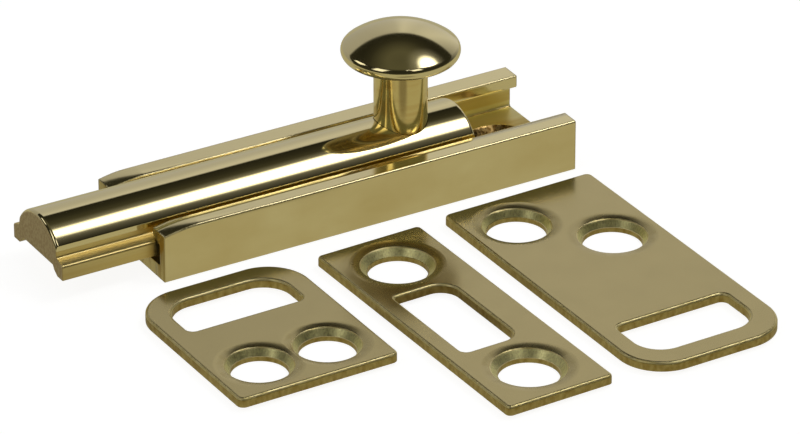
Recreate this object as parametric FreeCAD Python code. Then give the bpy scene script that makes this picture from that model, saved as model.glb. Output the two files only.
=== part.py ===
"""Surface bolt set: sliding bolt in a screw-on channel, with three flat strikes.

Frame: millimetres, +Z away from the door, +X along the bolt towards its tail.
The origin is the middle of the channel's back, between its two screw holes.
The bolt is drawn thrown: its nose stands out past the channel's -X end.
"""

import FreeCAD
import Part
import math
import os

from FreeCAD import Vector

# How far each cutter runs past the face that it opens
cutter_spare = 1.0

# Channel that is screwed to the door
base_length = 76.2
base_width = 22.6
base_height = 9.0
base_floor = 2.4
base_wall = 1.7
base_corner_round = 0.3
lip_reach = 2.15
lip_thickness = 2.15
lip_slope_deg = 20.0
lip_top_round = 0.2
near_lip_round = 0.6
lip_tip_round = 0.55
lip_root_round = 0.25
floor_fillet = 0.4
nose_dip = 0.75
nose_dip_length = 6.5

# Screw holes through the channel's floor
base_hole_inset = 7.9
base_hole_rim_radius = 5.5
base_hole_bore_radius = 4.6
base_hole_cone_depth = 1.0

# Sliding bolt
bolt_length = 76.8
bolt_throw = 16.75
bolt_screw_access = 1.0
bolt_side_gap = 1.1
bolt_lift_gap = 0.3
bolt_foot_gap = 1.2
bolt_neck_gap = 0.95
bolt_neck_lean = 0.25
bolt_apex_height = 11.8
bolt_crown_swell = 1.65
bolt_shoulder_round = 0.5
bolt_neck_fillet = 0.5
bolt_flange_round = 0.5
bolt_foot_round = 0.3
bolt_end_bevel = 0.1
crown_end_round = 0.6
recess_depth = 1.4
recess_foot_width = 1.9
recess_bevel_width = 1.1
recess_bevel_height = 0.75
recess_side_width = 0.4
recess_round = 0.3

# Turned knob
knob_tail_inset = 10.4
knob_head_radius = 9.78
knob_rim_height = 24.05
knob_rim_round = 1.25
knob_dome_height = 4.15
knob_underside_fall = 0.4
knob_stem_radius = 4.43
knob_stem_fillet = 1.4
knob_seat_depth = 2.2
knob_seat_gap = 0.08

# Screw that holds the knob, driven from under the bolt
knob_screw_radius = 2.0
knob_screw_gap = 0.05
knob_screw_head_radius = 3.8
knob_screw_head_height = 1.9
knob_screw_sink = 0.15
knob_screw_reach = 7.0
knob_tapping_spare = 1.0

# Stop screw, which runs in a slot through the channel's floor
stop_radius = 1.5
stop_thread_radius = 1.25
stop_thread_gap = 0.04
stop_thread_length = 3.6
stop_tapping_spare = 0.5
stop_slot_gap = 0.3
stop_back_gap = 0.5
driver_slot_width = 0.6
driver_slot_depth = 0.7

# Bowed leaf spring that lifts the bolt against the lips
spring_thickness = 0.4
spring_width = 8.0
spring_bow_radius = 14.0
spring_tip_radius = 2.5
spring_tip_lift_deg = 22.0
spring_floor_gap = 0.02
spring_hole_gap = 0.08
spring_clamp_gap = 0.12

# Strikes: sheet, pressed screw holes and the slot that takes the bolt's nose
strike_thickness = 1.6
strike_edge_round = 0.5
strike_slot_length = 20.7

# Pressed screw hole: dished in front, with a low rim behind that the plate stands on
press_height = 0.65
press_foot_width = 0.6
press_flare = 0.9
dish_width = 1.6
dish_sag = 0.22
hole_rim_width = 0.2
hole_rim_round = 0.35
hole_bore_length = 0.8
hole_ledge_width = 0.12

# Short strike, with its holes side by side
short_width = 28.4
short_length = 35.6
short_corner_far = 7.5
short_corner_near = 1.2
short_place = (-47.91, -17.29)
short_turn_deg = 1.0
short_slot_height = 9.5
short_slot_edge = 3.75
short_slot_shift = -0.15
short_slot_round_far = 5.0
short_slot_round_near = 1.3
short_hole_spacing = 12.16
short_hole_inset = 8.3
short_rim_radius = 5.45
short_bore_radius = 4.56

# Narrow strike, with a hole at each end
narrow_width = 19.3
narrow_length = 56.5
narrow_corner = 0.9
narrow_place = (-14.97, -18.94)
narrow_turn_deg = 1.9
narrow_slot_height = 10.15
narrow_slot_inset = 3.25
narrow_slot_sharp_round = 0.8
narrow_slot_wide_round = 3.3
narrow_slot_foot_round = 1.3
narrow_slot_heel_round = 2.6
narrow_hole_inset = 9.11
narrow_rim_radius = 6.0
narrow_bore_radius = 4.87

# Long strike, with its holes staggered
long_width = 28.0
long_length = 59.4
long_corner_far = 1.1
long_corner_near = 7.5
long_place = (9.45, -17.30)
long_turn_deg = 1.4
long_slot_height = 10.3
long_slot_edge = 4.3
long_slot_shift = -0.05
long_slot_round_far = 1.3
long_slot_round_near = 4.7
long_hole_left_inset = 8.38
long_hole_left_along = 8.87
long_hole_right_inset = 8.35
long_hole_right_along = 19.81
long_rim_radius = 5.65
long_bore_radius = 4.86

# Heights and places that follow from the sizes above
half_length = base_length / 2
half_width = base_width / 2
groove_half = half_width - base_wall
lip_inner = groove_half - lip_reach
lip_fall = math.tan(math.radians(lip_slope_deg))
lip_tip_z = base_height - lip_thickness
lip_root_z = lip_tip_z - lip_reach * lip_fall
base_hole_x = half_length - base_hole_inset

bolt_nose_x = -half_length - bolt_throw
bolt_tail_x = bolt_nose_x + bolt_length
bolt_travel = bolt_screw_access + base_hole_rim_radius - base_hole_x - bolt_nose_x
flange_half = groove_half - bolt_side_gap
neck_half = lip_inner - bolt_neck_gap
shoulder_half = neck_half - bolt_neck_lean
bolt_foot_z = base_floor + bolt_foot_gap
recess_z = bolt_foot_z + recess_depth
bolt_crown_radius = shoulder_half + bolt_crown_swell
crown_centre_z = bolt_apex_height - bolt_crown_radius
shoulder_z = crown_centre_z + math.sqrt(bolt_crown_radius ** 2 - shoulder_half ** 2)

knob_x = bolt_tail_x - knob_tail_inset
knob_seat_z = bolt_apex_height - knob_seat_depth
knob_screw_foot_z = recess_z + knob_screw_sink

strike_top = press_height + strike_thickness

stop_x = -bolt_travel / 2
stop_shoulder_z = recess_z - spring_thickness - spring_clamp_gap


def corner_arc(before, corner, after, radius):
    """The two tangent points and the middle of the arc that rounds a corner."""
    back = (before - corner).normalize()
    ahead = (after - corner).normalize()
    half_turn = back.getAngle(ahead) / 2
    reach = radius / math.tan(half_turn)
    bisector = (back + ahead).normalize()
    centre = corner + bisector * (radius / math.sin(half_turn))
    return corner + back * reach, centre - bisector * radius, corner + ahead * reach


def rounded_edges(points, closed=True):
    """Edges along corners given as (vector, radius); a zero radius stays sharp."""
    count = len(points)
    edges = []
    last_point = None
    first_point = None
    for index, (corner, radius) in enumerate(points):
        is_end = not closed and index in (0, count - 1)
        if radius > 0 and not is_end:
            before = points[index - 1][0]
            after = points[(index + 1) % count][0]
            start, middle, end = corner_arc(before, corner, after, radius)
        else:
            start, middle, end = corner, None, corner
        if last_point is not None:
            edges.append(Part.LineSegment(last_point, start).toShape())
        if middle is not None:
            edges.append(Part.Arc(start, middle, end).toShape())
        if first_point is None:
            first_point = start
        last_point = end
    if closed:
        edges.append(Part.LineSegment(last_point, first_point).toShape())
    return edges


def arc_about(centre, radius, start, end):
    """Arc in the XZ plane between two angles, counted from +Z towards +X."""
    points = []
    for angle in (start, (start + end) / 2, end):
        points.append(centre + Vector(math.sin(angle), 0, math.cos(angle)) * radius)
    return Part.Arc(*points).toShape()


def prism(edges, direction):
    """Solid swept from the face inside a closed chain of edges."""
    return Part.Face(Part.Wire(edges)).extrude(direction)


def cylinder(radius, bottom, top, x=0.0, y=0.0):
    """Upright cylinder between two heights."""
    return Part.makeCylinder(radius, top - bottom, Vector(x, y, bottom))


def cone(bottom_radius, top_radius, bottom, top, x=0.0, y=0.0):
    """Upright cone between two heights."""
    return Part.makeCone(bottom_radius, top_radius, top - bottom, Vector(x, y, bottom))


def countersunk_hole(x, y, bore_radius, rim_radius, cone_depth, top):
    """Cutter for a straight bore from below z = 0 and a cone that opens at the top."""
    spare = cutter_spare
    slope = (rim_radius - bore_radius) / cone_depth
    bore = cylinder(bore_radius, -spare, top, x, y)
    mouth = cone(bore_radius, rim_radius + slope * spare, top - cone_depth, top + spare, x, y)
    return bore.fuse(mouth)


def edges_at_height(solid, height, tolerance=1e-4):
    """Edges of a solid that lie wholly at one height."""
    found = []
    for edge in solid.Edges:
        box = edge.BoundBox
        if abs(box.ZMin - height) < tolerance and abs(box.ZMax - height) < tolerance:
            found.append(edge)
    return found


def edges_on_end(solid, x, tolerance=1e-4):
    """Edges of a solid that lie wholly in the plane across the bolt at x."""
    found = []
    for edge in solid.Edges:
        box = edge.BoundBox
        if abs(box.XMin - x) < tolerance and abs(box.XMax - x) < tolerance:
            found.append(edge)
    return found


def channel_section():
    """Corners of the channel's section, as seen along X, from the back up one side."""
    right = [
        (half_width, 0.0, base_corner_round),
        (half_width, base_height, base_corner_round),
        (lip_inner, base_height, lip_top_round),
        (lip_inner, lip_tip_z, lip_tip_round),
        (groove_half, lip_root_z, lip_root_round),
        (groove_half, base_floor, floor_fillet),
    ]
    left = [(-y, z, radius) for y, z, radius in reversed(right)]
    left[3] = (-lip_inner, base_height, near_lip_round)
    return [(Vector(-half_length, y, z), radius) for y, z, radius in right + left]


def nose_dip_cutter():
    """Block above the curve in which both walls' tops fall towards the nose end."""
    spare = cutter_spare
    radius = (nose_dip_length ** 2 + nose_dip ** 2) / (2 * nose_dip)
    centre = Vector(-half_length + nose_dip_length, 0, base_height - radius)
    box = Part.makeBox(
        nose_dip_length + spare, base_width + 2 * spare, nose_dip + 2 * spare,
        Vector(-half_length - spare, -half_width - spare, base_height - nose_dip - spare))
    drum = Part.makeCylinder(
        radius, base_width + 4 * spare,
        Vector(centre.x, -half_width - 2 * spare, centre.z), Vector(0, 1, 0))
    return box.cut(drum)


def stop_slot_cutter():
    """Slot through the floor in which the stop screw runs, end to end of its travel."""
    radius = stop_radius + stop_slot_gap
    top = base_floor + cutter_spare
    start_x = stop_x
    end_x = stop_x + bolt_travel
    middle = Part.makeBox(
        end_x - start_x, 2 * radius, top + cutter_spare,
        Vector(start_x, -radius, -cutter_spare))
    for x in (start_x, end_x):
        middle = middle.fuse(cylinder(radius, -cutter_spare, top, x))
    return middle.removeSplitter()


def make_base_channel():
    """Extruded channel with inward lips, two screw holes and the stop slot."""
    channel = prism(rounded_edges(channel_section()), Vector(base_length, 0, 0))
    channel = channel.cut(nose_dip_cutter())
    channel = channel.cut(stop_slot_cutter())
    for x in (-base_hole_x, base_hole_x):
        channel = channel.cut(countersunk_hole(
            x, 0, base_hole_bore_radius, base_hole_rim_radius, base_hole_cone_depth, base_floor))
    return channel


def bolt_section():
    """Closed chain round the bolt's section: feet, flanges and neck, then the crown."""
    flange_in_z = lip_tip_z - bolt_lift_gap + bolt_neck_gap * lip_fall
    flange_out_z = flange_in_z - (flange_half - neck_half) * lip_fall
    foot_in = flange_half - recess_foot_width
    bevel_in = foot_in - recess_bevel_width
    right = [
        (shoulder_half, shoulder_z, 0.0),
        (neck_half, flange_in_z, bolt_neck_fillet),
        (flange_half, flange_out_z, bolt_flange_round),
        (flange_half, bolt_foot_z, bolt_foot_round),
        (foot_in, bolt_foot_z, recess_round),
        (bevel_in, bolt_foot_z + recess_bevel_height, recess_round),
        (bevel_in - recess_side_width, recess_z, 0.0),
    ]
    left = [(-y, z, radius) for y, z, radius in reversed(right)]
    corners = [(Vector(bolt_nose_x, y, z), radius) for y, z, radius in right + left]
    edges = rounded_edges(corners, closed=False)
    crown = Part.Arc(
        corners[-1][0], Vector(bolt_nose_x, 0, bolt_apex_height), corners[0][0])
    return edges + [crown.toShape()]


def shoulder_edges(bar):
    """The two long edges where the crown meets the neck."""
    found = []
    for edge in bar.Edges:
        box = edge.BoundBox
        along = box.XLength > bolt_length / 2
        if along and abs(box.ZMin - shoulder_z) < 1e-3 and abs(box.ZMax - shoulder_z) < 1e-3:
            found.append(edge)
    return found


def crown_end_cutter(end_x, inward):
    """Ring outside the soft round on one end of the crown, down to the neck."""
    spare = cutter_spare
    rim = crown_centre_z + bolt_crown_radius
    start = Vector(end_x + inward * crown_end_round, 0, rim)
    end = Vector(end_x, 0, rim - crown_end_round)
    slant = crown_end_round * (1 - math.sqrt(0.5))
    middle = Vector(end_x + inward * slant, 0, rim - slant)
    corners = [
        end, end - Vector(inward * spare, 0, 0),
        Vector(end_x - inward * spare, 0, rim + spare), start + Vector(0, 0, spare), start,
    ]
    edges = rounded_edges([(corner, 0.0) for corner in corners], closed=False)
    edges.append(Part.Arc(start, middle, end).toShape())
    face = Part.Face(Part.Wire(edges))
    ring = face.revolve(Vector(0, 0, crown_centre_z), Vector(1, 0, 0), 360)
    foot_z = crown_centre_z + math.sqrt(
        (bolt_crown_radius - crown_end_round) ** 2 - neck_half ** 2)
    reach = bolt_crown_radius + 2 * spare
    above = Part.makeBox(
        4 * spare, 2 * reach, 2 * reach, Vector(end_x - 2 * spare, -reach, foot_z))
    return ring.common(above)


def make_bolt():
    """Extruded bar with a round crown, side flanges and a recess underneath."""
    bar = prism(bolt_section(), Vector(bolt_length, 0, 0))
    bar = bar.makeFillet(bolt_shoulder_round, shoulder_edges(bar))
    for end_x, inward in ((bolt_nose_x, 1), (bolt_tail_x, -1)):
        bar = bar.makeChamfer(bolt_end_bevel, edges_on_end(bar, end_x))
        bar = bar.cut(crown_end_cutter(end_x, inward))
    above = bolt_apex_height + cutter_spare
    below = recess_z - cutter_spare
    seat = cylinder(knob_stem_radius + knob_seat_gap, knob_seat_z, above, knob_x)
    hole = cylinder(knob_screw_radius + knob_screw_gap, below, above, knob_x)
    head_top = knob_screw_foot_z + knob_screw_head_height
    sink = cone(
        knob_screw_head_radius, knob_screw_radius + knob_screw_gap,
        knob_screw_foot_z, head_top, knob_x)
    sink_mouth = cylinder(knob_screw_head_radius, below, knob_screw_foot_z, knob_x)
    stop_hole = cylinder(
        stop_thread_radius + stop_thread_gap, below,
        recess_z + stop_thread_length + stop_tapping_spare, stop_x)
    for cutter in (seat, hole, sink, sink_mouth, stop_hole):
        bar = bar.cut(cutter)
    return bar


def knob_outline():
    """Half section of the knob, from its foot up the stem, round the rim to the crown."""
    rim_in = knob_head_radius - knob_rim_round
    under_z = knob_rim_height - knob_rim_round
    foot = Vector(0, 0, knob_seat_z)
    points = [
        (foot, 0.0),
        (Vector(knob_stem_radius, 0, knob_seat_z), 0.0),
        (Vector(knob_stem_radius, 0, under_z - knob_underside_fall), knob_stem_fillet),
        (Vector(rim_in, 0, under_z), 0.0),
    ]
    dome_radius = (rim_in ** 2 + knob_dome_height ** 2 - knob_rim_round ** 2) / (
        2 * (knob_dome_height - knob_rim_round))
    dome_angle = math.asin(rim_in / (dome_radius - knob_rim_round))
    rim_centre = Vector(rim_in, 0, knob_rim_height)
    dome_centre = Vector(0, 0, knob_rim_height + knob_dome_height - dome_radius)
    rim = arc_about(rim_centre, knob_rim_round, math.pi, dome_angle)
    dome = arc_about(dome_centre, dome_radius, dome_angle, 0.0)
    crown = Vector(0, 0, knob_rim_height + knob_dome_height)
    axis = Part.LineSegment(crown, foot).toShape()
    return rounded_edges(points, closed=False) + [rim, dome, axis]


def make_knob():
    """Turned mushroom knob, tapped from below for its screw."""
    face = Part.Face(Part.Wire(knob_outline()))
    turned = face.revolve(Vector(0, 0, 0), Vector(0, 0, 1), 360)
    turned.translate(Vector(knob_x, 0, 0))
    tapping = cylinder(
        knob_screw_radius + knob_screw_gap, knob_seat_z - cutter_spare,
        knob_seat_z + knob_screw_reach + knob_tapping_spare, knob_x)
    return turned.cut(tapping)


def driver_slot(radius, bottom, x):
    """Screwdriver slot across a screw that is driven from below."""
    return Part.makeBox(
        2 * radius, driver_slot_width, driver_slot_depth,
        Vector(x - radius, -driver_slot_width / 2, bottom))


def make_knob_screw():
    """Flat-head machine screw, up through the bolt into the knob."""
    head = cone(
        knob_screw_head_radius - knob_screw_gap, knob_screw_radius,
        knob_screw_foot_z, knob_screw_foot_z + knob_screw_head_height, knob_x)
    shank = cylinder(
        knob_screw_radius, knob_screw_foot_z, knob_seat_z + knob_screw_reach, knob_x)
    screw = head.fuse(shank)
    return screw.cut(driver_slot(knob_screw_head_radius, knob_screw_foot_z, knob_x))


def make_stop_screw():
    """Shouldered screw, up through the slot and the spring into the bolt."""
    shoulder = cylinder(stop_radius, stop_back_gap, stop_shoulder_z, stop_x)
    thread = cylinder(
        stop_thread_radius, stop_shoulder_z, recess_z + stop_thread_length, stop_x)
    screw = shoulder.fuse(thread)
    return screw.cut(driver_slot(stop_radius, stop_back_gap, stop_x))


def spring_side(offset):
    """One side of the leaf, from its -X tip to its +X tip, off the middle by an offset."""
    centre_z = recess_z - spring_thickness / 2 - spring_bow_radius
    centre = Vector(stop_x, 0, centre_z)
    fall = recess_z - base_floor - spring_floor_gap - spring_thickness
    bow_end = math.acos(1 - fall / (spring_bow_radius + spring_tip_radius))
    lift = math.radians(spring_tip_lift_deg)
    reach = spring_bow_radius + spring_tip_radius
    edges = []
    for side in (-1, 1):
        outward = Vector(side * math.sin(bow_end), 0, math.cos(bow_end))
        tip_centre = centre + outward * reach
        level = math.pi + side * bow_end
        raised = math.pi - side * lift
        tip = arc_about(tip_centre, spring_tip_radius - offset, level, raised)
        edges.append(tip)
    bow = arc_about(centre, spring_bow_radius + offset, -bow_end, bow_end)
    return [edges[0], bow, edges[1]]


def edge_end(edge, side):
    """The end of an edge that lies furthest along X, on the asked side."""
    ends = [vertex.Point for vertex in edge.Vertexes]
    return max(ends, key=lambda point: side * point.x)


def make_bow_spring():
    """Bowed leaf: its middle bears on the bolt, its turned-up tips on the floor."""
    half = spring_thickness / 2
    upper = spring_side(half)
    lower = spring_side(-half)
    closing = []
    for index, side in ((0, -1), (2, 1)):
        closing.append(Part.LineSegment(
            edge_end(upper[index], side), edge_end(lower[index], side)).toShape())
    wire = Part.Wire(Part.__sortEdges__(upper + lower + closing))
    leaf = Part.Face(wire).extrude(Vector(0, spring_width, 0))
    leaf.translate(Vector(0, -spring_width / 2, 0))
    hole = cylinder(
        stop_thread_radius + spring_hole_gap, base_floor, recess_z + cutter_spare, stop_x)
    return leaf.cut(hole)


def rounded_rectangle(left, far, width, length, rounds, z):
    """Edges of a rectangle whose corners are far left, far right, near right, near left."""
    corners = [
        (left, -far), (left + width, -far),
        (left + width, -far - length), (left, -far - length),
    ]
    points = []
    for (x, y), radius in zip(corners, rounds):
        points.append((Vector(x, y, z), radius))
    return rounded_edges(points)


def pressed_hole(x, y, bore_radius, rim_radius):
    """Cutter for a bore from below, a ledge, a steep cone and the dish round its rim."""
    spare = cutter_spare
    dish_turn = 2 * math.atan(dish_sag / dish_width)
    dish_curve = dish_width / math.sin(dish_turn)
    dish_inside = rim_radius + hole_rim_width
    dish_radius = dish_inside + dish_width
    start = Vector(dish_radius, 0, strike_top)
    middle = Vector(
        dish_radius - dish_curve * math.sin(dish_turn / 2), 0,
        strike_top - dish_curve * (1 - math.cos(dish_turn / 2)))
    end = Vector(dish_inside, 0, strike_top - dish_sag)
    rim = end - Vector(hole_rim_width, 0, hole_rim_width * math.tan(dish_turn))
    corners = [
        (end, 0.0),
        (rim, hole_rim_round),
        (Vector(bore_radius + hole_ledge_width, 0, hole_bore_length), 0.0),
        (Vector(bore_radius, 0, hole_bore_length), 0.0),
        (Vector(bore_radius, 0, -spare), 0.0),
        (Vector(0, 0, -spare), 0.0),
        (Vector(0, 0, strike_top + spare), 0.0),
        (Vector(dish_radius, 0, strike_top + spare), 0.0),
        (start, 0.0),
    ]
    edges = rounded_edges(corners, closed=False)
    edges.append(Part.Arc(start, middle, end).toShape())
    cutter = Part.Face(Part.Wire(edges)).revolve(Vector(0, 0, 0), Vector(0, 0, 1), 360)
    cutter.translate(Vector(x, y, 0))
    return cutter


def make_strike(outline, slot, holes, bore_radius, rim_radius, place, turn_deg):
    """Plate with a slot and pressed screw holes, laid down at its far left corner."""
    plate = prism(outline, Vector(0, 0, strike_thickness))
    plate.translate(Vector(0, 0, press_height))
    plate = plate.cut(prism(slot, Vector(0, 0, strike_top + 2 * cutter_spare)))
    plate = plate.makeFillet(strike_edge_round, edges_at_height(plate, strike_top))
    for across, along in holes:
        plate = plate.fuse(cone(
            bore_radius + press_foot_width, rim_radius + press_flare, 0, press_height,
            across, -along))
    for across, along in holes:
        plate = plate.cut(pressed_hole(across, -along, bore_radius, rim_radius))
    plate.rotate(Vector(0, 0, 0), Vector(0, 0, 1), turn_deg)
    plate.translate(Vector(place[0], place[1], 0))
    return plate


def make_short_strike():
    """Short plate: slot across its rounded far end, two holes side by side."""
    far = short_corner_far
    near = short_corner_near
    outline = rounded_rectangle(0, 0, short_width, short_length, (far, far, near, near), 0)
    slot_rounds = (
        short_slot_round_far, short_slot_round_far,
        short_slot_round_near, short_slot_round_near)
    slot_left = (short_width - strike_slot_length) / 2 + short_slot_shift
    slot = rounded_rectangle(
        slot_left, short_slot_edge, strike_slot_length, short_slot_height,
        slot_rounds, -cutter_spare)
    hole_along = short_length - short_hole_inset
    holes = []
    for side in (-1, 1):
        holes.append((short_width / 2 + side * short_hole_spacing / 2, hole_along))
    return make_strike(
        outline, slot, holes, short_bore_radius, short_rim_radius, short_place, short_turn_deg)


def make_narrow_strike():
    """Narrow plate: slot along its middle, a hole at each end."""
    outline = rounded_rectangle(0, 0, narrow_width, narrow_length, (narrow_corner,) * 4, 0)
    slot_far = (narrow_length - strike_slot_length) / 2
    slot_rounds = (
        narrow_slot_sharp_round, narrow_slot_wide_round,
        narrow_slot_heel_round, narrow_slot_foot_round)
    slot = rounded_rectangle(
        narrow_slot_inset, slot_far, narrow_slot_height, strike_slot_length,
        slot_rounds, -cutter_spare)
    holes = [
        (narrow_width / 2, narrow_hole_inset),
        (narrow_width / 2, narrow_length - narrow_hole_inset),
    ]
    return make_strike(
        outline, slot, holes, narrow_bore_radius, narrow_rim_radius,
        narrow_place, narrow_turn_deg)


def make_long_strike():
    """Long plate: slot across its rounded near end, two staggered holes."""
    far = long_corner_far
    near = long_corner_near
    outline = rounded_rectangle(0, 0, long_width, long_length, (far, far, near, near), 0)
    slot_far = long_length - long_slot_edge - long_slot_height
    slot_rounds = (
        long_slot_round_far, long_slot_round_far,
        long_slot_round_near, long_slot_round_near)
    slot_left = (long_width - strike_slot_length) / 2 + long_slot_shift
    slot = rounded_rectangle(
        slot_left, slot_far, strike_slot_length, long_slot_height,
        slot_rounds, -cutter_spare)
    holes = [
        (long_hole_left_inset, long_hole_left_along),
        (long_width - long_hole_right_inset, long_hole_right_along),
    ]
    return make_strike(
        outline, slot, holes, long_bore_radius, long_rim_radius, long_place, long_turn_deg)


def build():
    """Write each piece to its own file."""
    makers = {
        "base_channel": make_base_channel,
        "bolt": make_bolt,
        "knob": make_knob,
        "knob_screw": make_knob_screw,
        "stop_screw": make_stop_screw,
        "bow_spring": make_bow_spring,
        "short_strike": make_short_strike,
        "narrow_strike": make_narrow_strike,
        "long_strike": make_long_strike,
    }
    os.makedirs("parts", exist_ok=True)
    for name, maker in makers.items():
        shape = maker()
        print(name, "valid", shape.isValid(), "solids", len(shape.Solids),
              "volume", round(shape.Volume, 2))
        shape.exportStep("parts/" + name + ".step")


build()
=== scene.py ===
"""Polished brass surface bolt with its flat strikes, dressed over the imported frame.

Metres, +Z away from the door, +X from the bolt's nose to its tail. The origin is the
middle of the channel's back.
"""

import logging
import math
from dataclasses import dataclass, field
from enum import Enum
from typing import Optional, Union

import bpy
from mathutils import Color, Euler, Matrix, Vector


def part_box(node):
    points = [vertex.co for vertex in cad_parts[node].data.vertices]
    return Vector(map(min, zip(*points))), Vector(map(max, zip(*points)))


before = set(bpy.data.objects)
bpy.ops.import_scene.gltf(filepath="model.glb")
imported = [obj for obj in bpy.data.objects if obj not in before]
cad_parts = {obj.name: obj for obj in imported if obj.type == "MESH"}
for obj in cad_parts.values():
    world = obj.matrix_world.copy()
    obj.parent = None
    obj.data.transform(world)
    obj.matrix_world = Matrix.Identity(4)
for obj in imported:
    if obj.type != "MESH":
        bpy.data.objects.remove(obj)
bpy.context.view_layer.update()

MM = 0.001
MICROMETRE = 0.000001
# No face points further than fully one way, so a zone that ends here has no upper limit.
NO_LIMIT = 1.1
# Places of the colour mixing node's inputs and output among its sockets.
FIRST_COLOUR = 6
SECOND_COLOUR = 7
MIXED_COLOUR = 2
# How many finer patterns each pattern has in it.
PATTERN_DETAIL = 3.0

log = logging.getLogger("surface_bolt")

Colour = tuple[float, float, float, float]
Socket = bpy.types.NodeSocket
Number = Union[Socket, float]
Tint = Union[Socket, Colour]


def linear(hex_colour: str) -> Colour:
    """Turn an sRGB hex colour to linear light.

    Args:
        hex_colour: Six hex digits, such as "F4E4AE".

    Returns:
        Red, green, blue and an alpha of one, in linear light.
    """
    shares = Color([share / 255 for share in bytes.fromhex(hex_colour)])
    red, green, blue = shares.from_srgb_to_scene_linear()
    return red, green, blue, 1.0


def middle_mm(node: str) -> Vector:
    """Middle of a CAD node's box, in millimetres."""
    low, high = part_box(node)
    return (low + high) / 2 / MM


class Grain(Enum):
    """The way in which marks run: how much each direction counts towards the pattern."""

    ALONG_X = (0.02, 1.0, 1.0)
    ALONG_Y = (1.0, 0.02, 1.0)
    UPRIGHT = (1.0, 1.0, 0.1)
    EVEN = (1.0, 1.0, 1.0)
    CLOUDS = (0.3, 1.0, 0.5)
    TORN = (1.0, 1.0, 0.6)


class Measure(Enum):
    """What a zone's limits count: millimetres, or how far a face points that way."""

    ACROSS = "distance from the middle line"
    HEIGHT = "height above the back"
    ALONG = "place along the bolt, from nose to tail"
    POINTS_ALONG = "share that the face points along the bolt"
    POINTS_UP = "share that the face points up"


class Tree:
    """A node tree that is being written, node by node."""

    def __init__(self, owner: bpy.types.ID) -> None:
        """Empty the owner's tree.

        Args:
            owner: A material, light or world, which gets nodes.
        """
        owner.use_nodes = True
        self.tree = owner.node_tree
        self.tree.nodes.clear()

    def add(self, kind: str, inputs: Optional[dict] = None, **settings) -> bpy.types.Node:
        """Add a node with its settings and links.

        Args:
            kind: Blender's name of the node's type.
            inputs: Socket name or number to a plain value, or to the socket that feeds it.
            settings: The node's own settings, by name.

        Returns:
            The new node.
        """
        node = self.tree.nodes.new(kind)
        for name, value in settings.items():
            setattr(node, name, value)
        for name, value in (inputs or {}).items():
            if isinstance(value, bpy.types.NodeSocket):
                self.tree.links.new(value, node.inputs[name])
            else:
                node.inputs[name].default_value = value
        return node


def pattern(tree: Tree, place: Socket, grain: Grain, distance_mm: float) -> Socket:
    """Marks or patches of a real size.

    Args:
        tree: The tree that is being written.
        place: Place on the piece, in millimetres.
        grain: The way in which they run.
        distance_mm: Distance from one to the next.

    Returns:
        The socket that gives their height, around a half.
    """
    scale = [share / distance_mm for share in grain.value]
    stretched = tree.add("ShaderNodeMapping", {"Vector": place, "Scale": scale}).outputs[0]
    return tree.add("ShaderNodeTexNoise", {
        "Vector": stretched, "Scale": 1.0, "Detail": PATTERN_DETAIL}).outputs["Fac"]


@dataclass(frozen=True)
class Zone:
    """A part of a piece whose finish differs from the rest.

    Attributes:
        limits: What is measured, with the lowest and highest value inside the zone.
        face: sRGB colour that its metal gives to what it mirrors.
        stain: sRGB colour of its patches.
        roughness: Mean roughness of its faces.
        stain_share: How much of it the patches cover.
        stain_mm: Size of the patches across.
        stain_edge: How softly a patch ends.
        grain: The way in which its marks run.
        grain_mm: Distance between its marks.
        depth_um: Height of its marks, in micrometres, or zero to keep the piece's marks.
        bare_level: Noise above which the patches begin, if they cover next to nothing.
        covered_fall: How much that level falls, if the patches cover everything.
    """

    limits: tuple[tuple[Measure, float, float], ...]
    face: str
    stain: str
    roughness: float
    stain_share: float = 0.4
    stain_mm: float = 2.0
    stain_edge: float = 0.08
    grain: Grain = Grain.UPRIGHT
    grain_mm: float = 0.4
    depth_um: float = 4.0
    bare_level: float = 0.65
    covered_fall: float = 0.3

    def inside(self, tree: Tree, measures: dict[Measure, Socket]) -> Socket:
        """Share of 1 inside the zone and 0 outside it.

        Args:
            tree: The tree that is being written.
            measures: The socket that gives each measure.

        Returns:
            The socket that gives the share.
        """
        share: Number = 1.0
        for measure, low, high in self.limits:
            test = tree.add("ShaderNodeMath", {
                0: measures[measure], 1: (low + high) / 2, 2: (high - low) / 2},
                operation="COMPARE").outputs[0]
            share = tree.add("ShaderNodeMath", {
                0: share, 1: test}, operation="MULTIPLY").outputs[0]
        return share

    def colour(self, tree: Tree, place: Socket) -> Socket:
        """Colour of the zone's faces, with its patches.

        Args:
            tree: The tree that is being written.
            place: Place on the piece, in millimetres.

        Returns:
            The socket that gives the colour.
        """
        patches = pattern(tree, place, self.grain, self.stain_mm)
        level = self.bare_level - self.covered_fall * self.stain_share
        stained = tree.add("ShaderNodeMapRange", {
            "Value": patches, "From Min": level - self.stain_edge,
            "From Max": level + self.stain_edge}).outputs[0]
        return tree.add("ShaderNodeMix", {
            0: stained, FIRST_COLOUR: linear(self.face), SECOND_COLOUR: linear(self.stain)},
            data_type="RGBA").outputs[MIXED_COLOUR]


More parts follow.
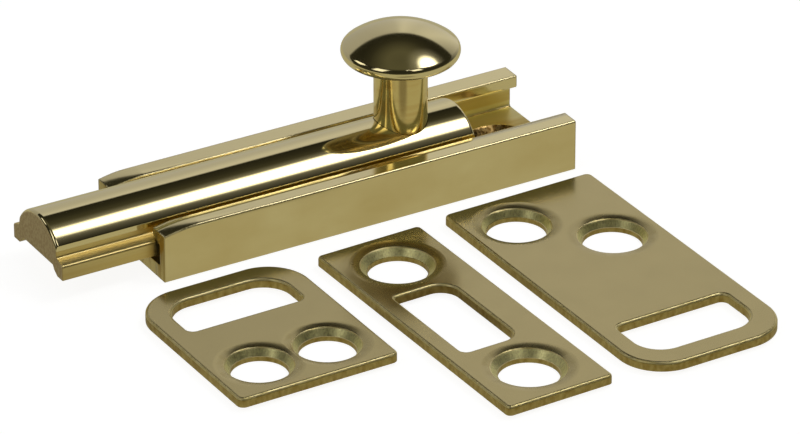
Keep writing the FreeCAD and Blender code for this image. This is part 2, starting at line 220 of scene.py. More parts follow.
@dataclass(frozen=True)
class Roll:
    """What the buffing wheel wore off the lips: two wedges, and one lip's inner edge.

    The wedges lie on the sides that face -Y. The worn edge mirrors the bolt's highlight.

    Attributes:
        start_mm: Place along the bolt at which the lips begin.
        length_mm: How far each wedge runs.
        outside_mm: Distance of the first lip's worn edge from the middle line.
        pitch_mm: Distance from that edge to the other lip's worn edge.
        width_mm: Width of a wedge where it begins.
        end_mm: Width of it where it ends.
        drop_um: How far the worn edge lies below the flat there, in micrometres.
        curve: Power of the distance with which a wedge falls.
        inner_mm: Distances from the middle line at which the inner edge's wear starts and ends.
        inner_um: How far the inner edge was worn down, in micrometres.
        inner_curve: Power of the distance with which it falls.
    """

    start_mm: float = -38.1
    length_mm: float = 20.0
    outside_mm: float = 11.3
    pitch_mm: float = 18.75
    width_mm: float = 3.3
    end_mm: float = 0.01
    drop_um: float = 330.0
    curve: float = 2.0
    inner_mm: tuple[float, float] = (9.0, 8.0)
    inner_um: float = 230.0
    inner_curve: float = 1.4

    def height(self, tree: Tree, place: Socket) -> Socket:
        """Height of the worn surface against the flat, in micrometres.

        Args:
            tree: The tree that is being written.
            place: Place on the piece, in millimetres.

        Returns:
            The socket that gives the height.
        """
        parts = tree.add("ShaderNodeSeparateXYZ", {0: place}).outputs
        wedge = tree.add("ShaderNodeMapRange", {
            "Value": parts["X"], "From Min": self.start_mm,
            "From Max": self.start_mm + self.length_mm,
            "To Min": self.width_mm, "To Max": self.end_mm}).outputs[0]
        shifted = tree.add("ShaderNodeMath", {
            0: parts["Y"], 1: self.outside_mm}, operation="ADD").outputs[0]
        inward = tree.add("ShaderNodeMath", {
            0: shifted, 1: self.pitch_mm}, operation="MODULO").outputs[0]
        left = tree.add("ShaderNodeMapRange", {
            "Value": inward, "From Max": wedge, "To Min": 1.0, "To Max": 0.0}).outputs[0]
        fall = tree.add("ShaderNodeMath", {0: left, 1: self.curve}, operation="POWER").outputs[0]
        deep = tree.add("ShaderNodeMath", {
            0: wedge, 1: -self.drop_um / self.width_mm}, operation="MULTIPLY").outputs[0]
        start, end = self.inner_mm
        inner = tree.add("ShaderNodeMapRange", {
            "Value": parts["Y"], "From Min": -start, "From Max": -end}).outputs[0]
        worn = tree.add("ShaderNodeMath", {
            0: inner, 1: self.inner_curve}, operation="POWER").outputs[0]
        edge = tree.add("ShaderNodeMath", {
            0: worn, 1: -self.inner_um}, operation="MULTIPLY").outputs[0]
        return tree.add("ShaderNodeMath", {
            0: fall, 1: deep, 2: edge}, operation="MULTIPLY_ADD").outputs[0]


@dataclass(frozen=True)
class Site:
    """The sockets that say where a point of a piece is.

    Attributes:
        place: Its place on the piece, in millimetres.
        marked: The place that the marks follow, which runs round the axis of a turned piece.
        measures: The socket that gives each measure.
    """

    place: Socket
    marked: Socket
    measures: dict[Measure, Socket]


@dataclass(frozen=True)
class Finish:
    """The sockets or plain values that make a finish.

    Attributes:
        colour: What the metal gives to what it mirrors.
        roughness: Its roughness.
        height: Height of its surface, in micrometres.
    """

    colour: Tint
    roughness: Number
    height: Number


@dataclass(frozen=True)
class Metal:
    """A worked copper alloy, with the marks of how it was made.

    Attributes:
        name: The material's name: what it is and how its surface was made.
        face: sRGB colour that the metal gives to what it mirrors.
        roughness: Mean roughness of the polished faces.
        grain: The way in which the polishing marks run.
        grain_mm: Distance between the marks, drawn coarse enough to show.
        depth_um: Height of the marks, in micrometres.
        swell_mm: Distance between the swells that buffing leaves.
        swell_um: Height of the swells, in micrometres.
        axis: Piece whose middle is the turning axis, where it was turned.
        zones: Parts of the piece with another finish.
        edge_mm: How far the light catches round each edge, or zero.
        edge_samples: How many rays look for an edge.
        roll: What the wheel wore off its edges.
        spread: Share by which the roughness varies either way.
        spread_noise: Noise at which it is least, and at which it is greatest.
    """

    name: str
    face: str = "F4E4AE"
    roughness: float = 0.1
    grain: Grain = Grain.ALONG_X
    grain_mm: float = 0.3
    depth_um: float = 0.1
    swell_mm: float = 5.0
    swell_um: float = 1.5
    axis: Optional[str] = None
    zones: tuple[Zone, ...] = ()
    edge_mm: float = 0.0
    edge_samples: int = 8
    roll: Optional[Roll] = None
    spread: float = 0.2
    spread_noise: tuple[float, float] = (0.3, 0.7)

    def uneven_roughness(self, tree: Tree, noise: Socket, mean: float) -> Socket:
        """Let the roughness vary around its mean with a noise."""
        least, greatest = self.spread_noise
        return tree.add("ShaderNodeMapRange", {
            "Value": noise, "From Min": least, "From Max": greatest,
            "To Min": mean * (1 - self.spread), "To Max": mean * (1 + self.spread)}).outputs[0]

    def polar(self, tree: Tree, place: Socket) -> Socket:
        """Turn a place to distance from the turning axis, angle and height.

        Args:
            tree: The tree that is being written.
            place: Place on the piece, in millimetres.

        Returns:
            The socket that gives it, the angle counted as next to nothing.
        """
        centre = middle_mm(self.axis)
        from_axis = tree.add("ShaderNodeVectorMath", {
            0: place, 1: (centre.x, centre.y, 0.0)}, operation="SUBTRACT").outputs[0]
        parts = tree.add("ShaderNodeSeparateXYZ", {0: from_axis}).outputs
        level = tree.add("ShaderNodeCombineXYZ", {"X": parts["X"], "Y": parts["Y"]}).outputs[0]
        radius = tree.add("ShaderNodeVectorMath", {0: level}, operation="LENGTH").outputs["Value"]
        angle = tree.add("ShaderNodeMath", {
            0: parts["Y"], 1: parts["X"]}, operation="ARCTAN2").outputs[0]
        return tree.add("ShaderNodeCombineXYZ", {
            "X": angle, "Y": radius, "Z": parts["Z"]}).outputs[0]

    def site(self, tree: Tree) -> Site:
        """Sockets for where a point is, and for everything that a zone's limits can count."""
        coordinates = tree.add("ShaderNodeTexCoord").outputs
        place = tree.add("ShaderNodeMapping", {
            "Vector": coordinates["Object"], "Scale": (1 / MM,) * 3}).outputs[0]
        parts = tree.add("ShaderNodeSeparateXYZ", {0: place}).outputs
        points = tree.add("ShaderNodeSeparateXYZ", {0: coordinates["Normal"]}).outputs
        across = tree.add("ShaderNodeMath", {0: parts["Y"]}, operation="ABSOLUTE").outputs[0]
        lengthwise = tree.add("ShaderNodeMath", {
            0: points["X"]}, operation="ABSOLUTE").outputs[0]
        return Site(place, self.polar(tree, place) if self.axis else place, {
            Measure.ACROSS: across,
            Measure.HEIGHT: parts["Z"],
            Measure.ALONG: parts["X"],
            Measure.POINTS_ALONG: lengthwise,
            Measure.POINTS_UP: points["Z"]})

    def polished(self, tree: Tree, site: Site) -> Finish:
        """Finish of the piece outside its zones."""
        marks = pattern(tree, site.marked, self.grain, self.grain_mm)
        swells = pattern(tree, site.place, Grain.EVEN, self.swell_mm)
        low = tree.add("ShaderNodeMath", {
            0: swells, 1: self.swell_um}, operation="MULTIPLY").outputs[0]
        height = tree.add("ShaderNodeMath", {
            0: marks, 1: self.depth_um, 2: low}, operation="MULTIPLY_ADD").outputs[0]
        return Finish(
            linear(self.face), self.uneven_roughness(tree, swells, self.roughness), height)

    def overlaid(self, tree: Tree, site: Site, zone: Zone, finish: Finish) -> Finish:
        """Lay a zone's finish over another.

        Args:
            tree: The tree that is being written.
            site: Where the point is.
            zone: The zone.
            finish: The finish outside it.

        Returns:
            The finish of both.
        """
        inside = zone.inside(tree, site.measures)
        marks = pattern(tree, site.marked, zone.grain, zone.grain_mm)
        colour = tree.add("ShaderNodeMix", {
            0: inside, FIRST_COLOUR: finish.colour, SECOND_COLOUR: zone.colour(tree, site.place)},
            data_type="RGBA").outputs[MIXED_COLOUR]
        roughness = tree.add("ShaderNodeMapRange", {
            "Value": inside, "To Min": finish.roughness,
            "To Max": self.uneven_roughness(tree, marks, zone.roughness)}).outputs[0]
        height = finish.height
        if zone.depth_um:
            own_height = tree.add("ShaderNodeMath", {
                0: marks, 1: zone.depth_um}, operation="MULTIPLY").outputs[0]
            height = tree.add("ShaderNodeMapRange", {
                "Value": inside, "To Min": height, "To Max": own_height}).outputs[0]
        return Finish(colour, roughness, height)

    def material(self) -> bpy.types.Material:
        """Build the node material."""
        material = bpy.data.materials.new(self.name)
        tree = Tree(material)
        site = self.site(tree)
        finish = self.polished(tree, site)
        for zone in self.zones:
            finish = self.overlaid(tree, site, zone, finish)
        height = finish.height
        if self.roll:
            height = tree.add("ShaderNodeMath", {
                0: height, 1: self.roll.height(tree, site.place)}, operation="ADD").outputs[0]
        relief = {"Height": height, "Strength": 1.0, "Distance": MICROMETRE}
        if self.edge_mm:
            relief["Normal"] = tree.add("ShaderNodeBevel", {
                "Radius": self.edge_mm * MM}, samples=self.edge_samples).outputs[0]
        bump = tree.add("ShaderNodeBump", relief).outputs[0]
        shader = tree.add("ShaderNodeBsdfPrincipled", {
            "Base Color": finish.colour, "Metallic": 1.0,
            "Roughness": finish.roughness, "Normal": bump}).outputs[0]
        tree.add("ShaderNodeOutputMaterial", {"Surface": shader})
        return material


def dress(node: str, material: bpy.types.Material) -> bpy.types.Object:
    """Give a CAD node a material.

    Args:
        node: The node's name.
        material: The material for all its faces.

    Returns:
        The node's object.
    """
    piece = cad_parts[node]
    piece.data.materials.clear()
    piece.data.materials.append(material)
    log.info("dressed %s in %s", node, material.name)
    return piece


@dataclass
class Channel:
    """The extruded channel: buffed outside, as drawn inside, sawn at its ends.

    Attributes:
        node: The CAD node.
        sawn: How far a face points along the bolt at least, to be a sawn end.
        groove_half_mm: Half of the width inside the walls.
        groove_heights_mm: Heights between which the inside lies, up to the lips' undersides.
        side_mm: Distance of the outer sides from the middle line.
        side_spare_mm: How near to that a face lies, to be a side.
        side_heights_mm: Heights between which the flat sides lie.
        sink_slope: How far a face points up, least and most, to be a countersink.
        sink_heights_mm: Heights between which the countersinks lie.
        mouth_mm: Places along the bolt between which the grooves' mouths lie, which are coloured
            dark as painted shade.
        edge_mm: How far the light catches round each edge.
    """

    node: str = "base_channel"
    sawn: float = 0.9
    groove_half_mm: float = 9.65
    groove_heights_mm: tuple[float, float] = (0.5, 6.85)
    side_mm: float = 11.3
    side_spare_mm: float = 0.05
    side_heights_mm: tuple[float, float] = (0.3, 8.6)
    sink_slope: tuple[float, float] = (0.4, 0.9)
    sink_heights_mm: tuple[float, float] = (1.2, 2.5)
    mouth_mm: tuple[float, float] = (-38.2, -31.0)
    edge_mm: float = 0.5

    def build(self) -> None:
        """Dress the channel."""
        between_walls = (Measure.ACROSS, 0.0, self.groove_half_mm)
        under_lips = (Measure.HEIGHT, *self.groove_heights_mm)
        # Drawn brass that the buff doesn't reach is a duller, greener gold.
        drawn = Zone(
            (between_walls, under_lips),
            face="FBECA6", stain="E6CC7C", roughness=0.44, stain_share=0.3, stain_mm=3.0,
            grain=Grain.ALONG_X, depth_um=0.4)
        # The flat sides are wiped by hand, which leaves faint clouds along them.
        side = Zone(
            ((Measure.ACROSS, self.side_mm - self.side_spare_mm,
              self.side_mm + self.side_spare_mm),
             (Measure.HEIGHT, *self.side_heights_mm)),
            face="F7E7B2", stain="E9D59A", roughness=0.13, stain_share=0.5, stain_mm=3.5,
            stain_edge=0.25, grain=Grain.CLOUDS, depth_um=0.05)
        # The countersinks show the cutter's chatter and are stained brown.
        sink = Zone(
            ((Measure.POINTS_UP, *self.sink_slope), between_walls,
             (Measure.HEIGHT, *self.sink_heights_mm)),
            face="D8B472", stain="87642F", roughness=0.3, stain_share=0.5, stain_mm=0.8,
            grain_mm=0.35, depth_um=8.0)
        # Painted shade: the grooves' mouths lie in deep shadow, so their colour is made nearly
        # black.
        painted_mouth_shade = Zone(
            ((Measure.ALONG, *self.mouth_mm), between_walls, under_lips),
            face="6A5628", stain="3A2C12", roughness=0.5, stain_share=0.5,
            grain=Grain.ALONG_X, depth_um=0.4)
        # A sawn and linished end is darker, with fine upright scratches.
        end = Zone(
            ((Measure.POINTS_ALONG, self.sawn, NO_LIMIT),),
            face="DCC98A", stain="B79E5E", roughness=0.3, stain_share=0.3)
        # Extruded brass off the buffing wheel: bright pale gold, its mirror a little soft
        # and wavy along the die's lines.
        dress(self.node, Metal(
            "extruded_brass_buffed", roughness=0.13, swell_um=2.5,
            zones=(drawn, side, sink, painted_mouth_shade, end), edge_mm=self.edge_mm,
            roll=Roll()).material())


@dataclass
class SlidingBolt:
    """The extruded bar: mirror-buffed crown, duller neck and flanges, satin ends.

    Attributes:
        node: The CAD node.
        end: How far a face points along the bolt at least, to be an end.
        neck_top_mm: Height below which the wheel doesn't reach the sides.
        neck_half_mm: Distance of the neck's faces from the middle line.
        outside_mm: Distance from the middle line that the flanges stay within.
    """

    node: str = "bolt"
    end: float = 0.9
    neck_top_mm: float = 7.9
    neck_half_mm: float = 6.3
    outside_mm: float = 9.0

    def build(self) -> None:
        """Dress the bolt."""
        # The groove along each side keeps the drawn skin: soft, gold, no sharp reflection.
        groove = Zone(
            ((Measure.ACROSS, self.neck_half_mm, self.outside_mm),
             (Measure.HEIGHT, 0.0, self.neck_top_mm)),
            face="F6E2A0", stain="E6C878", roughness=0.36, stain_share=0.35, stain_mm=4.0,
            grain=Grain.ALONG_X, depth_um=0.2)
        # The ends are linished on a belt: satin, a little mottled and brown.
        satin = Zone(
            ((Measure.POINTS_ALONG, self.end, NO_LIMIT),),
            face="F2E2B8", stain="E2CDA2", roughness=0.36, stain_share=0.5, stain_mm=0.5,
            grain=Grain.EVEN, grain_mm=0.2, depth_um=1.0)
        # The same bar with a second, finer buff: a sharp mirror with hardly a mark.
        dress(self.node, Metal(
            "extruded_brass_mirror_buffed", roughness=0.07, zones=(groove, satin)).material())


@dataclass
class Knob:
    """The turned knob: mirror-buffed head, and a satin stem with fine turning rings.

    Attributes:
        node: The CAD node.
        stem_heights_mm: Heights between which the stem's finish lies.
        head_foot_mm: Height up to which the matt ring under the head, with its painted shade,
            reaches.
    """

    node: str = "knob"
    stem_heights_mm: tuple[float, float] = (5.0, 21.0)
    head_foot_mm: float = 23.4

    def build(self) -> None:
        """Dress the knob."""
        # The wheel doesn't reach the stem, so it keeps the lathe's rings and is satin.
        stem = Zone(
            ((Measure.HEIGHT, *self.stem_heights_mm),),
            face="EED993", stain="DDBD74", roughness=0.12, stain_share=0.3, stain_mm=3.0,
            grain=Grain.ALONG_X, grain_mm=0.5, depth_um=0.3)
        # Under the head is a matt ring that no wheel reaches; its colour is darkened and browned
        # as painted shade under the head.
        under = Zone(
            ((Measure.HEIGHT, self.stem_heights_mm[1], self.head_foot_mm),),
            face="A69A7A", stain="8E8060", roughness=0.3, stain_share=0.4, stain_mm=3.0,
            grain=Grain.ALONG_X, grain_mm=0.5, depth_um=0.6)
        # Turned brass buffed to a mirror: the dome shows the whole room, with faint rings.
        dress(self.node, Metal(
            "turned_brass_mirror_buffed", axis=self.node, depth_um=0.12,
            zones=(stem, under)).material())


@dataclass
class Hardware:
    """The hidden pieces: two machine screws and the leaf spring.

    Attributes:
        screws: The screws' CAD nodes.
        spring: The spring's CAD node.
    """

    screws: tuple[str, ...] = ("knob_screw", "stop_screw")
    spring: str = "bow_spring"

    def build(self) -> None:
        """Dress the screws and the spring."""
        for node in self.screws:
            # Free-cutting brass off an automatic lathe: bright rings, no buffing.
            dress(node, Metal(
                "free_cutting_brass_turned_" + node, face="EAD694", roughness=0.2, axis=node,
                depth_um=0.5, swell_um=0.5).material())
        # Rolled phosphor bronze is redder than brass and satin along its length.
        dress(self.spring, Metal(
            "phosphor_bronze_rolled", face="E9B98C", roughness=0.25, depth_um=0.4,
            swell_um=0.5).material())


@dataclass
class Strikes:
    """The three plates: satin fronts, sheared edges and pressed holes.

    Attributes:
        nodes: The CAD nodes.
        sheared: How far a face points up at most, to be a sheared edge.
        rolled: How far a face points up at most, to be part of a rolled edge.
        level: How far it points up at most, to be part of a dip.
        cone: How far it points up at most, to be part of a pressed cone.
        cone_heights_mm: Heights between which the pressed cones lie.
    """

    nodes: tuple[str, ...] = ("short_strike", "narrow_strike", "long_strike")
    sheared: float = 0.3
    rolled: float = 0.93
    level: float = 0.997
    cone: float = 0.85
    cone_heights_mm: tuple[float, float] = (0.7, 1.85)

    def build(self) -> None:
        """Dress the plates, which the other pieces don't mirror, as in the photograph."""
        # A sheared edge is torn in upright streaks and stained brown where it broke.
        edge = Zone(
            ((Measure.POINTS_UP, -self.sheared, self.sheared),),
            face="C8B474", stain="A48A4A", roughness=0.42, stain_share=0.45, stain_mm=0.8,
            stain_edge=0.2, grain=Grain.TORN, grain_mm=0.25, depth_um=2.5)
        # The blanking die rolled the upper edges over, and they are duller than the faces; their
        # colour is lighter than the sheet's, a painted highlight along the edges.
        rolled = Zone(
            ((Measure.POINTS_UP, self.sheared, self.rolled),),
            face="FAEAAC", stain="F0DE98", roughness=0.42, stain_share=0.4, depth_um=0.6)
        # Beside each press and edge the sheet dips a little, and the wheel left it softer.
        dip = Zone(
            ((Measure.POINTS_UP, self.rolled, self.level),),
            face="CDBC86", stain="C8B67E", roughness=0.24, grain=Grain.EVEN, grain_mm=4.0,
            depth_um=0.0)
        # The pressed cone is dull and greenish, with short upright draw marks; its colour is
        # paler than the sheet's, painted light inside the holes.
        cone = Zone(
            ((Measure.POINTS_UP, self.sheared, self.cone),
             (Measure.HEIGHT, *self.cone_heights_mm)),
            face="FAF2AE", stain="DCD292", roughness=0.42, stain_share=0.4, stain_mm=0.25,
            stain_edge=0.15, grain_mm=0.2, depth_um=5.0)
        # Rolled sheet, wiped on a worn wheel: satin, a little darker than the bar.
        sheet = Metal(
            "rolled_sheet_brass_satin", face="CAB983", roughness=0.17, grain=Grain.ALONG_Y,
            grain_mm=0.25, depth_um=0.6, zones=(edge, rolled, dip, cone)).material()
        for node in self.nodes:
            dress(node, sheet).visible_glossy = False


def towards(azimuth: float, elevation: float) -> Vector:
    """Unit vector from the object.

    Args:
        azimuth: Degrees from +Y towards +X.
        elevation: Degrees above the floor.

    Returns:
        The vector.
    """
    a, e = math.radians(azimuth), math.radians(elevation)
    return Vector((math.sin(a) * math.cos(e), math.cos(a) * math.cos(e), math.sin(e)))


@dataclass(frozen=True)
class Softbox:
    """A light that faces the object, bright in the middle and soft at its edge.

    Attributes:
        name: The light's name.
        azimuth: Degrees from +Y towards +X.
        elevation: Degrees above the floor.
        distance: Metres from the object.
        width: Metres across, level with the floor.
        height: Metres up its slope.
        radiance: How bright its middle is.
        core: Share of its half width that is evenly bright.
        round_face: True for a disc.
        glossy: True where the brass mirrors it.
    """

    name: str
    azimuth: float
    elevation: float
    distance: float
    width: float
    height: float
    radiance: float
    core: float = 0.7
    round_face: bool = False
    glossy: bool = True

    def shade(self, light: bpy.types.AreaLight) -> None:
        """Let the light fall off from its core to its edge."""
        tree = Tree(light)
        place = tree.add("ShaderNodeNewGeometry").outputs["Parametric"]
        centred = tree.add("ShaderNodeMapping", {
            "Vector": place, "Location": (-1.0, -1.0, 0.0), "Scale": (2.0, 2.0, 0.0)}).outputs[0]
        if self.round_face:
            out = tree.add(
                "ShaderNodeVectorMath", {0: centred}, operation="LENGTH").outputs["Value"]
        else:
            size = tree.add("ShaderNodeVectorMath", {0: centred}, operation="ABSOLUTE").outputs[0]
            parts = tree.add("ShaderNodeSeparateXYZ", {0: size}).outputs
            out = tree.add("ShaderNodeMath", {
                0: parts["X"], 1: parts["Y"]}, operation="MAXIMUM").outputs[0]
        fall = tree.add("ShaderNodeMapRange", {
            "Value": out, "From Min": self.core, "From Max": 1.0, "To Min": 1.0, "To Max": 0.0},
            interpolation_type="SMOOTHSTEP").outputs[0]
        glow = tree.add("ShaderNodeEmission", {"Strength": fall}).outputs[0]
        tree.add("ShaderNodeOutputLight", {"Surface": glow})

    def build(self) -> None:
        """Make the area light."""
        light = bpy.data.lights.new(self.name, "AREA")
        light.shape = "ELLIPSE" if self.round_face else "RECTANGLE"
        light.size = self.width
        light.size_y = self.height
        area = self.width * self.height * (math.pi / 4 if self.round_face else 1.0)
        light.energy = self.radiance * math.pi * area
        if self.core < 1.0:
            self.shade(light)
        lamp = bpy.data.objects.new(self.name, light)
        direction = towards(self.azimuth, self.elevation)
        lamp.matrix_world = Matrix.Translation(direction * self.distance) @ (
            direction.to_track_quat("Z", "Y").to_matrix().to_4x4())
        lamp.visible_glossy = self.glossy
        bpy.context.scene.collection.objects.link(lamp)


@dataclass(frozen=True)
class Room:
    """What the brass mirrors: a lit backdrop, dim walls behind the camera, a dark ceiling.

    Attributes:
        heading: Degrees from +Y towards +X at which the backdrop stands.
        top: Degrees above the floor at which the backdrop ends, straight ahead.
        top_blur: Share of its height over which it ends, either way.
        facing: How far a ray points at the backdrop where it begins and fully shows.
        walls: Degrees from +Y towards +X, with the radiance there.
        ceiling: Degrees above the floor, with the radiance there.
        ceiling_tint: sRGB colour of the dark parts.
        twice_mirrored: sRGB colour of the dark parts where brass mirrors brass.
        once_mirrored_depth: Ray depth above which brass mirrors brass.
        seen: sRGB colour of the room in the picture.
    """

    heading: float = 30.0
    top: float = 43.0
    top_blur: float = 0.05
    facing: tuple[float, float] = (0.1, 0.14)
    walls: tuple[tuple[float, float], ...] = (
        (-180.0, 0.18), (-120.0, 0.18), (-60.0, 0.26), (-10.0, 0.36), (10.0, 0.38),
        (26.5, 0.445), (31.5, 0.585), (40.0, 0.5), (55.0, 0.58), (75.0, 0.3),
        (100.0, 0.06), (180.0, 0.18))
    ceiling: tuple[tuple[float, float], ...] = (
        (0.0, 0.05), (12.0, 0.028), (47.0, 0.017), (57.0, 0.028), (64.0, 0.05),
        (76.0, 0.09), (90.0, 0.08))
    ceiling_tint: str = "FFFCD2"
    twice_mirrored: str = "686E68"
    once_mirrored_depth: float = 2.5
    seen: str = "FFFFFF"

    @staticmethod
    def ramp(tree: Tree, value: Socket, stops: tuple[tuple[float, float], ...]) -> Socket:
        """Read a radiance off a row of stops.

        Args:
            tree: The tree that is being written.
            value: The angle.
            stops: Angles in rising order, each with the radiance there.

        Returns:
            The socket that gives the radiance.
        """
        low, high = stops[0][0], stops[-1][0]
        share = tree.add("ShaderNodeMapRange", {
            "Value": value, "From Min": low, "From Max": high}).outputs[0]
        node = tree.add("ShaderNodeValToRGB", {"Fac": share})
        elements = node.color_ramp.elements
        while len(elements) > 1:
            elements.remove(elements[-1])
        for index, (angle, radiance) in enumerate(stops):
            place = (angle - low) / (high - low)
            element = elements[0] if index == 0 else elements.new(place)
            element.position = place
            element.color = (radiance, radiance, radiance, 1.0)
        return node.outputs["Color"]

    def backdrop(self, tree: Tree, way: Socket, upward: Socket) -> Socket:
        """Share of 1 where a ray meets the lit backdrop, and 0 elsewhere.

        Args:
            tree: The tree that is being written.
            way: The ray's direction.
            upward: Its part along Z.

        Returns:
            The socket that gives the share.
        """
        ahead = tree.add("ShaderNodeVectorMath", {
            0: way, 1: towards(self.heading, 0.0)}, operation="DOT_PRODUCT").outputs["Value"]
        rise = tree.add("ShaderNodeMath", {
            0: upward, 1: ahead}, operation="DIVIDE").outputs[0]
        edge = math.tan(math.radians(self.top))
        under = tree.add("ShaderNodeMapRange", {
            "Value": rise, "From Min": edge * (1 - self.top_blur),
            "From Max": edge * (1 + self.top_blur), "To Min": 1.0, "To Max": 0.0}).outputs[0]
        begins, full = self.facing
        facing = tree.add("ShaderNodeMapRange", {
            "Value": ahead, "From Min": begins, "From Max": full}).outputs[0]
        return tree.add("ShaderNodeMapRange", {"Value": facing, "To Max": under}).outputs[0]

    def build(self) -> None:
        """Make the world."""
        world = bpy.data.worlds.new("studio_room")
        bpy.context.scene.world = world
        tree = Tree(world)
        way = tree.add("ShaderNodeTexCoord").outputs["Generated"]
        parts = tree.add("ShaderNodeSeparateXYZ", {0: way}).outputs
        turn = tree.add("ShaderNodeMath", {
            0: parts["X"], 1: parts["Y"]}, operation="ARCTAN2").outputs[0]
        azimuth = tree.add("ShaderNodeMath", {0: turn}, operation="DEGREES").outputs[0]
        slope = tree.add("ShaderNodeMath", {0: parts["Z"]}, operation="ARCSINE").outputs[0]
        elevation = tree.add("ShaderNodeMath", {0: slope}, operation="DEGREES").outputs[0]

        walls = self.ramp(tree, azimuth, self.walls)
        dark = self.ramp(tree, elevation, self.ceiling)
        tinted = tree.add("ShaderNodeMix", {
            0: 1.0, FIRST_COLOUR: dark, SECOND_COLOUR: linear(self.ceiling_tint)},
            data_type="RGBA", blend_type="MULTIPLY").outputs[MIXED_COLOUR]
        path = tree.add("ShaderNodeLightPath").outputs
        is_deep = tree.add("ShaderNodeMath", {
            0: path["Ray Depth"], 1: self.once_mirrored_depth},
            operation="GREATER_THAN").outputs[0]
        behind = tree.add("ShaderNodeMix", {
            0: is_deep, FIRST_COLOUR: tinted, SECOND_COLOUR: linear(self.twice_mirrored)},
            data_type="RGBA").outputs[MIXED_COLOUR]
        glow = tree.add("ShaderNodeMix", {
            0: self.backdrop(tree, way, parts["Z"]), FIRST_COLOUR: behind, SECOND_COLOUR: walls},
            data_type="RGBA").outputs[MIXED_COLOUR]
        room = tree.add("ShaderNodeBackground", {"Color": glow}).outputs[0]
        pale = tree.add("ShaderNodeBackground", {"Color": linear(self.seen)}).outputs[0]
        both = tree.add("ShaderNodeMixShader", {
            0: path["Is Camera Ray"], 1: room, 2: pale}).outputs[0]
        tree.add("ShaderNodeOutputWorld", {"Surface": both})


@dataclass(frozen=True)
class Floor:
    """White paper that is burnt out in the picture, and dimmer where the brass mirrors it.

    Attributes:
        side: Metres along each side.
        drop: Metres under the strikes' backs.
        seen_glow: Light that the camera sees from it everywhere.
        seen_shade: Paper's share that still shows shadows.
        mirrored: sRGB colour of the paper as the brass mirrors it.
        shadow: sRGB colour of it where it is shaded.
        shadows_mm: Middle and reach of each shade: left of the nose, and before the knob.
        shadow_core: Share of its reach in which a shade is even.
    """

    side: float = 6.0
    drop: float = 0.00002
    seen_glow: float = 0.9
    seen_shade: float = 0.3
    mirrored: str = "ADAA94"
    shadow: str = "807A68"
    shadows_mm: tuple[tuple[float, float, float], ...] = (
        (-85.0, 5.0, 60.0), (-4.0, -40.0, 17.0))
    shadow_core: float = 0.4

    def paper(self) -> bpy.types.Material:
        """Build the paper's material.

        Matt white paper has no gloss, so the eye sees only white and the soft shadows on it.
        """
        material = bpy.data.materials.new("matt_white_paper")
        tree = Tree(material)
        place = tree.add("ShaderNodeTexCoord").outputs["Object"]
        tone: Tint = linear(self.mirrored)
        for x, y, reach in self.shadows_mm:
            off = tree.add("ShaderNodeVectorMath", {
                0: place, 1: (x * MM, y * MM, 0.0)}, operation="DISTANCE").outputs["Value"]
            shade = tree.add("ShaderNodeMapRange", {
                "Value": off, "From Min": reach * MM * self.shadow_core,
                "From Max": reach * MM, "To Min": 1.0, "To Max": 0.0},
                interpolation_type="SMOOTHSTEP").outputs[0]
            tone = tree.add("ShaderNodeMix", {
                0: shade, FIRST_COLOUR: tone, SECOND_COLOUR: linear(self.shadow)},
                data_type="RGBA").outputs[MIXED_COLOUR]
        mirrored = tree.add("ShaderNodeEmission", {"Color": tone}).outputs[0]
        glow = tree.add("ShaderNodeEmission", {"Strength": self.seen_glow}).outputs[0]
        matt = tree.add("ShaderNodeBsdfDiffuse", {
            "Color": (self.seen_shade,) * 3 + (1.0,)}).outputs[0]
        seen = tree.add("ShaderNodeAddShader", {0: glow, 1: matt}).outputs[0]
        is_seen = tree.add("ShaderNodeLightPath").outputs["Is Camera Ray"]
        both = tree.add("ShaderNodeMixShader", {0: is_seen, 1: mirrored, 2: seen}).outputs[0]
        tree.add("ShaderNodeOutputMaterial", {"Surface": both})
        return material

    def build(self) -> None:
        """Make the floor, under the strikes' backs."""
        bpy.ops.mesh.primitive_plane_add(size=self.side, location=(0, 0, -self.drop))
        floor = bpy.context.object
        floor.name = "floor"
        floor.data.materials.append(self.paper())


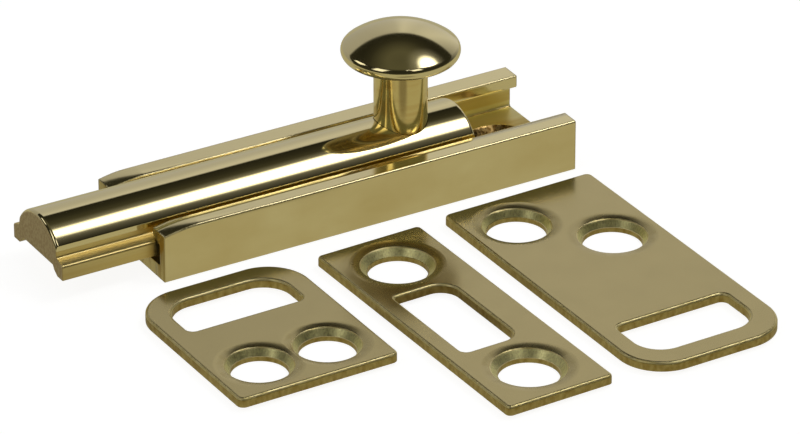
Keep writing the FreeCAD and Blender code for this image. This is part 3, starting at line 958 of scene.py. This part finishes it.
@dataclass(frozen=True)
class Camera:
    """The photograph's camera.

    Attributes:
        place_mm: Its place, from the fit to the photograph.
        heading: Degrees from +Y towards +X.
        pitch: Degrees below level.
        roll: Degrees clockwise.
        lens_px: Focal length in pixels of the frame.
        centre_px: Pixel that the lens points at.
        frame_px: Width and height of the frame.
        sensor_width: Width of the sensor, in millimetres.
        sight: Metres up to which it sees.
    """

    place_mm: tuple[float, float, float] = (-424.02, -753.34, 467.08)
    heading: float = 30.04
    pitch: float = 28.574
    roll: float = 0.04
    lens_px: float = 6034.45
    centre_px: tuple[float, float] = (401.11, 216.63)
    frame_px: tuple[int, int] = (800, 434)
    sensor_width: float = 36.0
    sight: float = 20.0

    def build(self) -> None:
        """Make the camera at the photograph's place and angle."""
        camera = bpy.data.cameras.new("camera")
        width, height = self.frame_px
        camera.sensor_fit = "HORIZONTAL"
        camera.sensor_width = self.sensor_width
        camera.lens = self.lens_px / width * self.sensor_width
        camera.shift_x = (width / 2 - self.centre_px[0]) / width
        camera.shift_y = (self.centre_px[1] - height / 2) / width
        camera.clip_end = self.sight
        rig = bpy.data.objects.new("camera", camera)
        rig.location = Vector(self.place_mm) * MM
        turn = Euler((math.radians(90 - self.pitch), 0.0, math.radians(-self.heading)))
        rig.rotation_euler = (
            turn.to_matrix() @ Matrix.Rotation(math.radians(-self.roll), 3, "Z")).to_euler()
        bpy.context.scene.collection.objects.link(rig)
        bpy.context.scene.camera = rig


@dataclass
class Studio:
    """Floor, room, lights and camera."""

    room: Room = field(default_factory=Room)
    floor: Floor = field(default_factory=Floor)
    camera: Camera = field(default_factory=Camera)
    softboxes: tuple[Softbox, ...] = (
        Softbox("key_softbox", azimuth=117.0, elevation=60.0, distance=0.9, width=0.46,
                height=0.46, radiance=4.5, core=0.2, round_face=True),
        Softbox("key_glow", azimuth=117.0, elevation=60.0, distance=0.95, width=0.9,
                height=0.9, radiance=0.3, core=0.0, round_face=True),
        Softbox("left_window", azimuth=-52.0, elevation=40.0, distance=1.2, width=0.42,
                height=0.34, radiance=1.2, core=0.75),
        Softbox("right_card", azimuth=172.0, elevation=50.0, distance=1.2, width=0.4,
                height=0.5, radiance=1.2, core=0.6),
        Softbox("left_card", azimuth=-105.0, elevation=42.0, distance=1.2, width=0.5,
                height=0.8, radiance=1.2, core=0.6),
        Softbox("overhead", azimuth=30.0, elevation=85.0, distance=1.5, width=1.6,
                height=1.6, radiance=0.35, core=1.0, glossy=False),
    )

    def build(self) -> None:
        """Make all of the studio."""
        self.room.build()
        self.floor.build()
        for softbox in self.softboxes:
            softbox.build()
        self.camera.build()
        settings = bpy.context.scene.view_settings
        settings.view_transform = "Standard"
        settings.look = "None"


def main() -> None:
    """Dress each sub-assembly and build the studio."""
    logging.basicConfig(level=logging.INFO)
    for assembly in (Channel(), SlidingBolt(), Knob(), Hardware(), Strikes(), Studio()):
        assembly.build()
        log.info("built %s", type(assembly).__name__)


if __name__ == "__main__":
    main()
